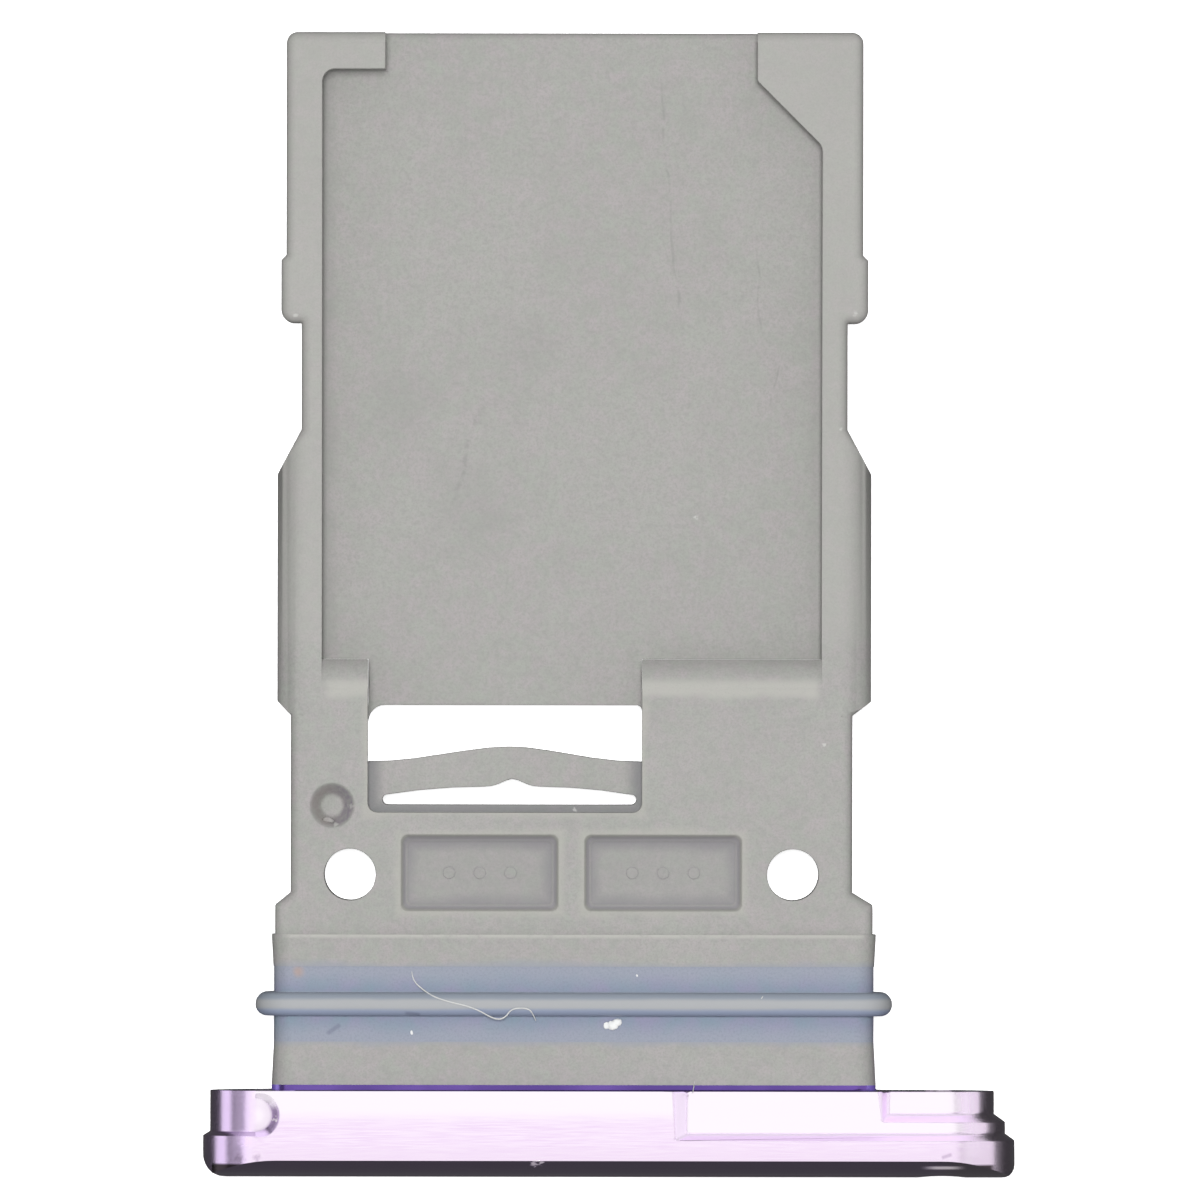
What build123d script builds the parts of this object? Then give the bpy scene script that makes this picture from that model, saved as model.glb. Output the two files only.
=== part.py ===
from build123d import *
import os

# Tray for one nano SIM card: a moulded carrier, a rubber seal round its plug and a metal head.
# Millimetres. X runs across the tray from the carrier's centreline, Y from the back of the head
# to the carrier's far end, and Z up from the middle of the head's height. The last step moves
# the origin to the middle of the underside of the whole tray.

# Card that the tray carries
card_width = 8.80
card_length = 12.30
card_thickness = 0.67
card_cut_corner = 1.65
card_side_gap = 0.06
card_top_gap = 0.05
card_end_gap = 0.055
card_corner_gap = 0.24

# Head: a bar with round ends and a crowned front, wider than the plug on both sides
left_overhang = 1.23
right_overhang = 2.49
head_lip = 0.35
head_depth = 1.24
head_crown = 0.31
head_left_corner = 0.42
head_right_corner = 0.24
pin_hole_radius = 0.44

# Reliefs milled round the head's ends, measured from its back face and in from its outline.
# A wall's run is how far its foot lies in from its upper edge, and the side walls' slope is
# that run for each millimetre that the relief is sunk.
left_relief_inset = 0.125
left_relief_length = 1.38
left_relief_depth = 0.86
left_wall_run = 0.13
long_relief_inset = 0.17
long_relief_length = 6.08
long_relief_depth = 0.88
short_relief_inset = 0.37
short_relief_length = 2.50
short_relief_depth = 0.67
end_wall_run = 0.22
side_wall_slope = 0.7

# Boss and tongue that join the head to the plug
boss_height = 0.107
tongue_side_wall = 1.59
tongue_height = 0.62
tongue_length = 1.55
tongue_corner = 0.15
tongue_gap = 0.02

# Plug that fills the slot, and the groove for the seal
plug_step = 0.06
plug_height = 1.90
plug_corner = 0.42
plug_core_corner = 0.12
plug_length = 2.68
plug_draft = 3.0
seal_front_land = 0.77
seal_length = 1.34
seal_depth = 0.30
seal_sink = 0.04
bead_thickness = 0.42
bead_rise = 0.33
bead_flat = 0.02

# Carrier heights and edges
plug_shoulder = 0.13
lip_thickness = 0.30
floor_thickness = 0.38
spring_top_drop = 0.42
edge_round = 0.20
body_roll_run = 0.54
body_roll_drop = 0.50
body_roll_slope = 0.05
foot_round = 0.09
mouth_round = 0.16

# Carrier outline: the wall beyond the card recess and the length of each stretch
collar_wall = 0.87
collar_length = 0.53
flare_run = 0.22
waist_wall = 0.55
waist_length = 3.16
step_run = 0.25
body_wall = 0.84
body_corner = 0.08
taper_run = 0.80
notch_wall = 0.41
notch_length = 1.90
catch_rise = 0.09
catch_length = 1.12
catch_slope = 0.09
catch_corner = 0.23
tip_wall = 0.685
tip_length = 3.98
tip_corner = 0.20
corner_break = 0.03

# Card recess: where it starts, its shift from the outline's middle, its corner blocks and its mouth
base_length = 3.14
recess_offset = -0.045
hook_length = 0.66
hook_width = 1.12
block_width = 1.16
recess_corner = 0.22
block_corner = 0.10

# Lips over the card's end, with the channel between them
lip_reach = 1.77
nose_run = 0.57
left_lip_width = 0.826
right_lip_width = 3.206

# Window with the spring bar that presses on the card's end
window_reach = 0.95
window_left_corner = 0.30
window_right_corner = 0.10
window_base_corner = 0.17
spring_preload = 0.21
spring_rise = 0.265
spring_thickness = 0.59
spring_offset = 0.135
spring_bow = 0.14
spring_nick_width = 1.00
spring_nick_height = 0.14
slot_height = 0.18
slot_left_ledge = 0.26
slot_right_ledge = 0.10
slot_front_ledge = 0.135

# Small features of the carrier's base
hole_radius = 0.46
hole_from_edge = 1.06
hole_from_plug = 1.07
pocket_from_hole = 0.91
pocket_web = 0.465
pocket_length = 1.36
pocket_depth = 0.28
pocket_corner = 0.12
pocket_wall_run = 0.09
pocket_from_plug = 1.10
dimple_from_wall = 0.19
dimple_from_plug = 2.30
dimple_radius = 0.40
dimple_floor_radius = 0.19
dimple_depth = 0.34

# Room that a cutting shape runs past the surface it opens
overrun = 1.0

# Stations along the tray
plug_front = boss_height
plug_rear = plug_front + plug_length
seal_front = plug_front + seal_front_land
seal_rear = seal_front + seal_length
card_end = plug_rear + base_length
card_far = card_end + card_length
far_end = card_far + hook_length
catch_far = far_end - tip_length
catch_near = catch_far - catch_slope - catch_length
notch_near = catch_near - notch_length
body_far = notch_near - taper_run
collar_far = plug_rear + collar_length
waist_near = collar_far + flare_run
waist_far = waist_near + waist_length
body_near = waist_far + step_run
lip_nose = card_end + lip_reach
window_far = card_end + window_reach
spring_peak = card_end + spring_preload
spring_root = spring_peak - spring_rise
slot_far = spring_root - spring_thickness
slot_near = slot_far - slot_height
window_near = slot_near - slot_front_ledge
head_front = -head_depth - head_crown

# Places across the tray
recess_half = card_width / 2 + card_side_gap
collar_half = recess_half + collar_wall
waist_half = recess_half + waist_wall
body_half = recess_half + body_wall
notch_half = recess_half + notch_wall
tip_half = recess_half + tip_wall
catch_half = tip_half + catch_rise
mouth_left = hook_width - recess_half
mouth_right = recess_half - block_width
channel_left = left_lip_width - recess_half
channel_right = recess_half - right_lip_width
spring_middle = (channel_left + channel_right) / 2 + spring_offset
hole_x = waist_half - hole_from_edge
dimple_x = dimple_from_wall - recess_half
plug_width = 2 * (collar_half + plug_step)
tongue_width = plug_width - 2 * tongue_side_wall
head_left = -plug_width / 2 - left_overhang
head_right = plug_width / 2 + right_overhang
head_width = head_right - head_left
head_offset = (head_left + head_right) / 2

# Levels above the middle of the head
head_height = plug_height + 2 * head_lip
carrier_top = plug_height / 2 - plug_shoulder
lip_under = carrier_top - lip_thickness
floor_top = lip_under - card_top_gap - card_thickness
carrier_under = floor_top - floor_thickness
spring_top = carrier_top - spring_top_drop


def across(y, towards=1):
    """Plane that faces along the tray at station y, with X across it."""
    return Plane(origin=(0, y, 0), x_dir=(1, 0, 0), z_dir=(0, towards, 0))


def level(z):
    """Flat plane at height z."""
    return Plane.XY.offset(z)


def block(x0, x1, y0, y1, z0, z1):
    """Plain rectangular solid between two corners."""
    return Pos((x0 + x1) / 2, (y0 + y1) / 2, (z0 + z1) / 2) * Box(x1 - x0, y1 - y0, z1 - z0)


def plug_section(inset=0.0):
    """Rounded outline of the plug, drawn in by an inset."""
    corner = max(plug_corner - inset, plug_core_corner)
    return RectangleRounded(plug_width - 2 * inset, plug_height - 2 * inset, corner)


def head_section(inset=0.0):
    """Round-ended outline of the head, drawn in by an inset."""
    return Pos(head_offset, 0) * SlotOverall(head_width - 2 * inset, head_height - 2 * inset)


def outline_side(waist):
    """Corners of one side of the outline, from the far end into the plug, with their radii."""
    root = (seal_rear + plug_rear) / 2
    return [
        (tip_half, far_end, tip_corner),
        (tip_half, catch_far, corner_break),
        (catch_half, catch_far - catch_slope, corner_break),
        (catch_half, catch_near, catch_corner),
        (notch_half, catch_near, corner_break),
        (notch_half, notch_near, corner_break),
        (body_half, body_far, body_corner),
        (body_half, body_near, corner_break),
        (waist, waist_far, corner_break),
        (waist, waist_near, corner_break),
        (collar_half, collar_far, corner_break),
        (collar_half, root, 0),
    ]


def carrier_blank():
    """Outline of the carrier at full thickness, with its upper edges rounded."""
    left_side = outline_side(waist_half - recess_offset)
    corners = outline_side(waist_half + recess_offset)
    corners += [(-x, y, corner) for x, y, corner in reversed(left_side)]
    points = [(x, y) for x, y, corner in corners]
    radii = [corner for x, y, corner in corners]
    outline = make_face(FilletPolyline(*points, radius=radii, close=True))
    blank = extrude(level(carrier_under) * outline, carrier_top - carrier_under)
    return fillet(blank.faces().sort_by(Axis.Z)[-1].edges(), edge_round)


def body_roll():
    """Broad rounding of the body's two upper side edges, which fades out along the tapers."""
    top = (body_half - body_roll_run, carrier_top)
    side = (body_half, carrier_top - body_roll_drop)
    past = body_half + overrun
    above = carrier_top + overrun
    outside = Polyline(side, (past, side[1]), (past, above), (top[0], above), top)
    corner = make_face([TangentArc(top, side, tangent=(1, -body_roll_slope)), outside])
    right = extrude(across(notch_near, -1) * corner, notch_near - waist_far)
    return right + mirror(right, about=Plane.YZ)


def plug_body():
    """Plug with two drafted lands and the narrower core under the seal."""
    front_land = extrude(across(plug_front) * plug_section(), seal_front_land, taper=plug_draft)
    rear_land = extrude(across(plug_rear, -1) * plug_section(), plug_rear - seal_rear, taper=plug_draft)
    core = extrude(across(plug_front) * plug_section(seal_depth), plug_length)
    return front_land + core + rear_land


def card_recess():
    """Space that the card drops into, open at the far end between the two corner blocks."""
    cut_line = card_width / 2 + card_far - card_cut_corner + card_corner_gap * 2 ** 0.5
    corners = [
        (-recess_half, lip_nose, 0),
        (recess_half, lip_nose, 0),
        (recess_half, cut_line - recess_half, recess_corner),
        (mouth_right, cut_line - mouth_right, block_corner),
        (mouth_right, far_end + overrun, 0),
        (mouth_left, far_end + overrun, 0),
        (mouth_left, card_far, 0),
        (-recess_half, card_far, recess_corner),
    ]
    points = [(x, y) for x, y, corner in corners]
    radii = [corner for x, y, corner in corners]
    plan = make_face(FilletPolyline(*points, radius=radii, close=True))
    space = extrude(level(floor_top) * plan, carrier_top - floor_top + overrun)
    foot = space.faces().sort_by(Axis.Z)[0].edges().sort_by(Axis.Y)[1:-1]
    return fillet(foot, foot_round)


def mouth_lead_in():
    """Rounding of the floor's edge at the open mouth, where the card slides in."""
    top = (far_end - mouth_round, floor_top)
    end = (far_end, floor_top - mouth_round)
    past = far_end + overrun
    above = floor_top + overrun
    outside = Polyline(end, (past, end[1]), (past, above), (top[0], above), top)
    corner = make_face([TangentArc(top, end, tangent=(1, 0)), outside])
    return extrude(Plane.YZ.offset(mouth_left) * corner, mouth_right - mouth_left)


def lip_space(x0, x1):
    """Space under one lip, cored out from below, and the rounded lead-in over its nose."""
    under = block(x0, x1, card_end - card_end_gap, lip_nose, carrier_under - overrun, lip_under)
    nose_top = (lip_nose - nose_run, carrier_top)
    nose_tip = (lip_nose, lip_under)
    above = carrier_top + overrun
    over = Polyline(nose_tip, (nose_tip[0], above), (nose_top[0], above), nose_top)
    nose = make_face([TangentArc(nose_top, nose_tip, tangent=(1, 0)), over])
    lead_in = extrude(Plane.YZ.offset(x0) * nose, x1 - x0)
    return under + lead_in


def spring_window():
    """Window through the base, less the bowed spring bar that crosses it below the top face."""
    bowed_edge = Spline(
        (channel_left, spring_root),
        (spring_middle, spring_peak),
        (channel_right, spring_root),
        tangents=((1, 0), (1, 0)),
    )
    frame_edge = FilletPolyline(
        (channel_right, spring_root),
        (channel_right, window_far),
        (channel_left, window_far),
        (channel_left, spring_root),
        radius=[window_right_corner, window_left_corner],
    )
    depth = carrier_top - carrier_under + 2 * overrun
    opening = extrude(level(carrier_under - overrun) * make_face([bowed_edge, frame_edge]), depth)

    end_round = slot_height / 2
    slot_left = channel_left + slot_left_ledge + end_round
    slot_right = channel_right - slot_right_ledge - end_round
    slot_middle = (slot_far + slot_near) / 2
    bow = slot_far + spring_bow
    nick_left = (spring_middle - spring_nick_width / 2, bow)
    nick_top = (spring_middle, bow + spring_nick_height)
    nick_right = (spring_middle + spring_nick_width / 2, bow)
    right_end = (slot_right + end_round, slot_middle)
    left_end = (slot_left - end_round, slot_middle)
    slot_edge = [
        TangentArc(nick_left, (slot_left, slot_far), tangent=(-1, 0)),
        Spline(nick_left, nick_top, nick_right, tangents=((1, 0), (1, 0))),
        TangentArc(nick_right, (slot_right, slot_far), tangent=(1, 0)),
        ThreePointArc((slot_right, slot_far), right_end, (slot_right, slot_near)),
        Line((slot_right, slot_near), (slot_left, slot_near)),
        ThreePointArc((slot_left, slot_near), left_end, (slot_left, slot_far)),
    ]
    slot = extrude(level(carrier_under - overrun) * make_face(slot_edge), depth)

    sunk_plan = FilletPolyline(
        (channel_right, window_near),
        (channel_right, window_far),
        (channel_left, window_far),
        (channel_left, window_near),
        radius=[window_base_corner, 0, 0, window_base_corner],
        close=True,
    )
    sunk = extrude(level(spring_top) * make_face(sunk_plan), spring_top_drop + overrun)
    return opening + slot + sunk


def base_pockets():
    """Two shallow pockets with sloping walls, beside each other between the locating holes."""
    outer = hole_x - pocket_from_hole
    inner = pocket_web / 2
    floor = carrier_top - pocket_depth
    sections = []
    for height, run in ((floor, -pocket_wall_run), (carrier_top + pocket_depth, pocket_wall_run)):
        outline = RectangleRounded(outer - inner + 2 * run, pocket_length + 2 * run, pocket_corner)
        sections.append(level(height) * outline)
    pocket = loft(sections)
    middle_x = (outer + inner) / 2
    return [Pos(side * middle_x, plug_rear + pocket_from_plug, 0) * pocket for side in (-1, 1)]


def gate_dimple():
    """Sunk cone where the moulding was filled."""
    cone = Cone(dimple_floor_radius, dimple_radius, dimple_depth)
    return Pos(dimple_x, plug_rear + dimple_from_plug, carrier_top - dimple_depth / 2) * cone


def locating_holes():
    """Pair of round holes through the base."""
    depth = carrier_top - carrier_under + 2 * overrun
    middle_z = (carrier_top + carrier_under) / 2
    drill = Cylinder(hole_radius, depth)
    return [Pos(side * hole_x, plug_rear + hole_from_plug, middle_z) * drill for side in (-1, 1)]


def tongue(gap=0.0):
    """Flat tongue behind the head's boss, or the socket for it when grown by a gap."""
    section = RectangleRounded(tongue_width + 2 * gap, tongue_height + 2 * gap, tongue_corner + gap)
    return extrude(across(0) * section, plug_front + tongue_length + gap)


def tray_carrier():
    """Moulded carrier with its plug."""
    carrier = carrier_blank() - body_roll() + plug_body()
    channel_near = window_far - max(window_left_corner, window_right_corner)
    cuts = [
        card_recess(),
        mouth_lead_in(),
        block(channel_left, channel_right, channel_near, lip_nose, floor_top, carrier_top + overrun),
        lip_space(-recess_half, channel_left),
        lip_space(channel_right, recess_half),
        spring_window(),
        gate_dimple(),
    ]
    for cut in cuts + base_pockets() + locating_holes():
        carrier -= Pos(recess_offset, 0, 0) * cut
    return carrier - tongue(tongue_gap)


def seal_gasket():
    """Rubber ring in the plug's groove, with a round-nosed bead along its middle."""
    band = extrude(across(seal_front) * plug_section(seal_sink), seal_length)
    bead_front = seal_front + (seal_length - bead_thickness) / 2
    bead = extrude(across(bead_front) * plug_section(seal_sink - bead_rise), bead_thickness)
    outer_edges = bead.faces().sort_by(Axis.Y)[0].edges() + bead.faces().sort_by(Axis.Y)[-1].edges()
    bead = fillet(outer_edges, (bead_thickness - bead_flat) / 2)
    core = extrude(across(plug_front) * plug_section(seal_depth), plug_length)
    return band + bead - core


def relief_cut(length, depth, inset):
    """Cut round the head's right end, down to an inset outline, with sloping walls."""
    wall = head_right - length
    foot = wall + end_wall_run
    half = head_height / 2
    past = head_right + overrun
    swept = [
        (wall, half),
        (foot, half - inset),
        (foot, inset - half),
        (wall, -half),
        (wall, -half - overrun),
        (past, -half - overrun),
        (past, half + overrun),
        (wall, half + overrun),
    ]
    run = inset * side_wall_slope
    stock = extrude(across(-depth - run) * make_face(Polyline(*swept, close=True)), depth + run)
    outer_end = across(-depth - run) * head_section(-inset)
    inner_end = across(run - depth) * head_section(inset)
    side_wall = loft([outer_end, inner_end])
    core = extrude(inner_end, depth - run)
    return stock - side_wall - core


def left_relief_plan(inset):
    """Round-ended outline of the left relief, drawn in by an inset."""
    reach = left_relief_length + overrun
    middle_x = head_left + left_relief_length - reach / 2
    outline = SlotOverall(reach - 2 * inset, left_relief_depth - 2 * inset)
    return Pos(middle_x, -left_relief_depth / 2) * outline


def left_relief():
    """Round-ended cut across the head's left end, with walls that slope up from an inset outline."""
    half = head_height / 2
    floor = half - left_relief_inset
    above = half + left_relief_inset
    foot = left_relief_plan(left_wall_run)
    upper = loft([level(floor) * foot, level(above) * left_relief_plan(-left_wall_run)])

    # Round the head's end the wall goes on from where the round-ended part leaves it
    round_start = head_left + left_relief_length - left_relief_depth / 2
    rim_height = (half ** 2 - max(head_left + half - round_start, 0) ** 2) ** 0.5
    wall_foot = left_wall_run - left_relief_depth
    wall_run = left_wall_run * (rim_height - floor) / left_relief_inset
    outer_end = across(wall_foot - 2 * wall_run) * head_section(-left_relief_inset)
    inner_end = across(wall_foot) * head_section(left_relief_inset)
    stock = block(head_left - overrun, round_start, wall_foot - 2 * wall_run, overrun, -above, above)
    behind = stock - loft([outer_end, inner_end])

    cut = upper + mirror(upper, about=Plane.XY) + behind
    cut += extrude(level(-floor) * foot, 2 * floor)
    return cut - extrude(across(-head_depth) * head_section(left_relief_inset), head_depth + overrun)


def head_bar():
    """Metal head with its crowned front, end reliefs, eject-pin hole, boss and tongue."""
    half = head_height / 2
    crown = ThreePointArc((-head_depth, half), (head_front, 0), (-head_depth, -half))
    side = make_face([crown, Polyline((-head_depth, -half), (0, -half), (0, half), (-head_depth, half))])
    bar = extrude(Plane.YZ.offset(head_left) * side, head_width)
    bar &= extrude(across(head_front) * head_section(), -head_front)
    plan = FilletPolyline(
        (head_left, 0),
        (head_left, head_front),
        (head_right, head_front),
        (head_right, 0),
        radius=[0, head_left_corner, head_right_corner, 0],
        close=True,
    )
    bar &= extrude(level(-head_height) * make_face(plan), 2 * head_height)
    bar -= relief_cut(long_relief_length, long_relief_depth, long_relief_inset)
    bar -= relief_cut(short_relief_length, short_relief_depth, short_relief_inset)
    bar -= left_relief()
    bar += extrude(across(0) * plug_section(), boss_height) + tongue()
    pin_hole = Cylinder(pin_hole_radius, 2 * (head_depth + head_crown), rotation=(90, 0, 0))
    return bar - Pos(head_right - half, 0, 0) * pin_hole


# Each piece is moved to the tray's own origin and written to its own file
os.makedirs("parts", exist_ok=True)
to_origin = Pos(-head_offset, -(far_end + head_front) / 2, head_height / 2)
pieces = {"tray_carrier": tray_carrier(), "seal_gasket": seal_gasket(), "head_bar": head_bar()}
for name, piece in pieces.items():
    export_step(to_origin * piece, f"parts/{name}.step")
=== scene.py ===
import math

import bmesh
import bpy
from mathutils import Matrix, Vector


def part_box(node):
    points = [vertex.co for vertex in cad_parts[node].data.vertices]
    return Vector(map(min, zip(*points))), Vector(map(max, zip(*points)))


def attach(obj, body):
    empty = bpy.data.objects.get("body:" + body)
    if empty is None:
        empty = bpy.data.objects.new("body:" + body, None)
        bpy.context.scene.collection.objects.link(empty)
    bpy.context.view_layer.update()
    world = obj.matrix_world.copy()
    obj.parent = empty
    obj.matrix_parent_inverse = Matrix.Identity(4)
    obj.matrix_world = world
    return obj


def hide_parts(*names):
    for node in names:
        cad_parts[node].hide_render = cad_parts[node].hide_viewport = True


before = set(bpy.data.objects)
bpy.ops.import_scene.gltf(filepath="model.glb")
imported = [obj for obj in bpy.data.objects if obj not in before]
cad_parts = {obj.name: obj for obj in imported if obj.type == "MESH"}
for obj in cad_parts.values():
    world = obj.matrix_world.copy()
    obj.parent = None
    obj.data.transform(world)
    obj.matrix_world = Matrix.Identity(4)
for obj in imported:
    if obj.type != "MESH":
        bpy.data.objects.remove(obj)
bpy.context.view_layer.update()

# Sizes in this script are millimetres of the part's own frame
MM = 0.001
LEVEL_TOLERANCE = 0.001

# The photograph: its side in pixels, its scale, the pixel that shows the frame's origin, and its turn
PHOTO_SIDE = 1200
PIXELS_PER_MM = 56.0
ORIGIN_PIXEL = (609.625, 605.0)
PHOTO_TURN = -0.0015

# Levels and stations of the carrier
CARRIER_TOP = 2.12
LIP_CREST = -1.50
LIP_NOSE = -0.9715
RECESS_SIDES = (-5.135, 3.785)
RECESS_FLOOR = 1.10
PLUG_REAR = -5.8815
PLUG_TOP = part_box("tray_carrier")[1].z / MM
WINDOW_MIDDLE = (-1.865, -2.7465)
WINDOW_HALF = (2.444, 0.955)
SPRING_TOP = 1.70
POCKET_FLOOR = 1.84
POCKET_MIDDLES = ((-2.311, -4.7815), (0.961, -4.7815))
POCKET_HALF = (1.404, 0.68)
DIMPLE_MIDDLE = (-4.945, -3.5815)

# Levels and stations of the seal
SEAL_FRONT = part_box("seal_gasket")[0].y / MM
SEAL_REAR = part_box("seal_gasket")[1].y / MM
SEAL_MIDDLE = (SEAL_FRONT + SEAL_REAR) / 2
SEAL_HALF = (SEAL_REAR - SEAL_FRONT) / 2
BEAD_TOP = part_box("seal_gasket")[1].z / MM
BAND_TOP = PLUG_TOP - 0.04

# Levels and stations of the head
HEAD_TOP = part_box("head_bar")[1].z / MM
HEAD_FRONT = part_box("head_bar")[0].y / MM
HEAD_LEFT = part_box("head_bar")[0].x / MM
HEAD_RIGHT = -HEAD_LEFT
HEAD_DEPTH = 1.55
HEAD_BACK = HEAD_FRONT + HEAD_DEPTH
HEAD_FLAT_FRONT = HEAD_BACK - 1.20
LEFT_RELIEF_END = HEAD_LEFT + 1.6
LEFT_RELIEF_MIDDLE = (HEAD_LEFT + 0.95, HEAD_BACK - 0.43)
RELIEF_LENGTHS = (6.08, 2.50)
BOSS_MIDDLE = (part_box("tray_carrier")[0].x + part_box("tray_carrier")[1].x) / 2 / MM

# Rounding of edges: its width, and the number of steps it is made in
SHARP_ANGLE = math.radians(30.0)
MOULDED_EDGE_ROUND = (0.025, 2)
DIMPLE_FOOT_ROUND = (0.050, 3)
POCKET_FOOT_ROUND = (0.070, 3)
RELIEF_START_ROUND = (0.085, 4)
MILLED_EDGE_ROUND = (0.015, 2)
RELIEF_FOOT_ROUND = (0.060, 3)


def at_pixel(column, row):
    """Gives the place in the plan, in millimetres, that a pixel of the photograph shows."""
    right = (column - ORIGIN_PIXEL[0]) / PIXELS_PER_MM
    up = (ORIGIN_PIXEL[1] - row) / PIXELS_PER_MM
    turn = -PHOTO_TURN
    return (
        right * math.cos(turn) - up * math.sin(turn),
        right * math.sin(turn) + up * math.cos(turn),
    )


# Tools for shaping


def take_up(piece):
    """Makes a piece the only selected and active object."""
    bpy.ops.object.select_all(action="DESELECT")
    piece.select_set(True)
    bpy.context.view_layer.objects.active = piece


def open_with(piece, kind, wanted):
    """Opens a piece for editing with only the wanted corners, edges or faces selected."""
    take_up(piece)
    bpy.ops.object.mode_set(mode="EDIT")
    bpy.ops.mesh.select_mode(type=kind)
    bpy.ops.mesh.select_all(action="DESELECT")
    shape = bmesh.from_edit_mesh(piece.data)
    for element in {"VERT": shape.verts, "EDGE": shape.edges, "FACE": shape.faces}[kind]:
        if wanted(element):
            element.select_set(True)
    bmesh.update_edit_mesh(piece.data)


def settle(piece):
    """Puts a finished piece's place into its mesh, so that its object sits at the origin."""
    take_up(piece)
    bpy.ops.object.transform_apply(location=True, rotation=True, scale=True)


def copy_of(node_name, piece_name):
    """Copies a CAD node's mesh to a piece of its own, with its triangles merged into whole flats."""
    node = bpy.data.objects[node_name]
    piece = bpy.data.objects.new(piece_name, node.data.copy())
    bpy.context.scene.collection.objects.link(piece)
    piece.data.materials.clear()
    take_up(piece)
    bpy.ops.mesh.customdata_custom_splitnormals_clear()
    bpy.ops.object.mode_set(mode="EDIT")
    bpy.ops.mesh.select_all(action="SELECT")
    bpy.ops.mesh.remove_doubles(threshold=0.0001 * MM)
    bpy.ops.mesh.dissolve_limited(angle_limit=math.radians(0.3))
    bpy.ops.object.mode_set(mode="OBJECT")
    return piece


def round_edges(piece, outer, rounding, wanted):
    """Rounds those sharp edges, outer ones or inner ones, that are wanted."""

    def sharp_and_wanted(edge):
        if not edge.is_manifold or edge.is_convex != outer or edge.calc_face_angle() < SHARP_ANGLE:
            return False
        start, end = [corner.co / MM for corner in edge.verts]
        return wanted(start, end)

    width, segments = rounding
    open_with(piece, "EDGE", sharp_and_wanted)
    bpy.ops.mesh.bevel(offset=width * MM, segments=segments, affect="EDGES", clamp_overlap=False)
    bpy.ops.object.mode_set(mode="OBJECT")


def press_down(piece, level):
    """Presses the corners that the rounding lifted above a level back down to it."""
    open_with(piece, "VERT", lambda corner: corner.co.z / MM > level)
    bpy.ops.transform.resize(value=(1.0, 1.0, 0.0), center_override=(0.0, 0.0, level * MM))
    bpy.ops.object.mode_set(mode="OBJECT")


def smooth_shading(piece):
    """Shades a piece smoothly over its rounded edges, with its flats kept flat."""
    take_up(piece)
    bpy.ops.object.shade_smooth_by_angle(angle=math.radians(40.0))
    normals = piece.modifiers.new("flat_faces_lead", "WEIGHTED_NORMAL")
    normals.keep_sharp = True
    bpy.ops.object.modifier_apply(modifier=normals.name)


def join_as(name, parts):
    """Joins several small parts into one piece."""
    take_up(parts[0])
    for part in parts:
        part.select_set(True)
    bpy.ops.object.join()
    parts[0].name = name
    return parts[0]


def hand_in(piece, finish, replaced=None):
    """Gives a finished piece its material and its place in the part."""
    piece.data.materials.append(finish)
    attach(piece, "root")
    if replaced:
        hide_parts(replaced)


# Tools for finishes


def colour(red, green, blue):
    """An opaque colour."""
    return (red, green, blue, 1.0)


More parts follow.
